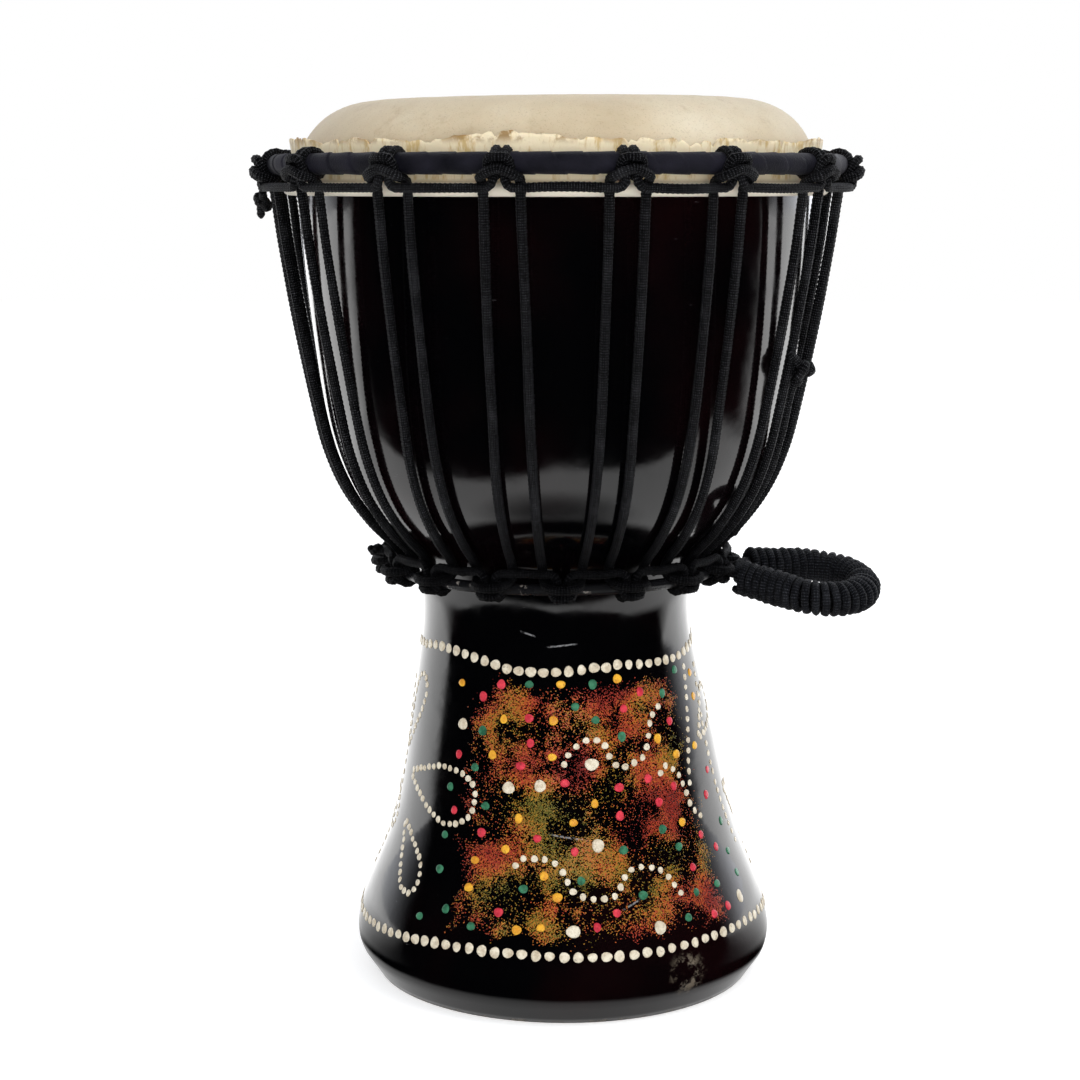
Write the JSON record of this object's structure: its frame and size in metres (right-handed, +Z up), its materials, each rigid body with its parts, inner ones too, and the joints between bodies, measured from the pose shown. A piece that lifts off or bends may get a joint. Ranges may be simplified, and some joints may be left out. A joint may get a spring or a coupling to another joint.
{
  "type": "djembe",
  "caption": "Goblet-shaped hand drum with a carved wooden shell, a laced skin head held by rings and rope, and a rope-wound swinging carrying loop.",
  "frame": {"origin": "centre of the foot's rest face, on the floor", "axes": "+Z up along the drum's axis towards the head; -Y is the front and the handle hangs at +X, ten degrees towards the front"},
  "size_m": [0.2858, 0.2764, 0.4],
  "materials": {
    "lacquered_wood": "high-gloss near-black lacquer over carved hardwood, sponged and dotted with paint on the stem",
    "goatskin": "dry, matt rawhide",
    "ring_steel": "plain drawn wire",
    "bottom_ring_paint": "black paint, worn on the wire's crown",
    "ring_cloth": "black cotton tape, spiral wound",
    "braided_rope": "black braided polyester cord",
    "handle_rope": "black braided cord, close wound"
  },
  "bodies": {
    "drum": {"shell": "lacquered_wood", "head_skin": "goatskin", "flesh_hoop": "ring_steel", "crown_ring": "ring_steel", "crown_ring_wrap": "ring_cloth", "top_cradle_rope": "braided_rope", "lacing_rope_01": "braided_rope", "lacing_rope_02": "braided_rope", "lacing_rope_03": "braided_rope", "lacing_rope_04": "braided_rope", "lacing_rope_05": "braided_rope", "lacing_rope_06": "braided_rope", "lacing_rope_07": "braided_rope", "lacing_rope_08": "braided_rope", "lacing_rope_09": "braided_rope", "lacing_rope_10": "braided_rope", "lacing_rope_11": "braided_rope", "lacing_rope_12": "braided_rope", "lacing_rope_13": "braided_rope", "lacing_rope_14": "braided_rope", "lacing_rope_15": "braided_rope", "lacing_rope_16": "braided_rope", "tail_rope": "braided_rope", "join_knot": "braided_rope", "top_end_knot": "braided_rope", "bottom_ring": "bottom_ring_paint", "bottom_cradle_rope": "braided_rope", "bottom_end_knot": "braided_rope"},
    "handle": {"handle_core": "braided_rope", "handle_winding": "handle_rope"}
  },
  "joints": [
    {"name": "handle_swing", "type": "hinge", "parent": "drum", "child": "handle", "pos_m": [0.07337, -0.01294, 0.191], "axis": [-0.1736, -0.9848, 0], "range_deg": [-75, 22]}
  ]
}
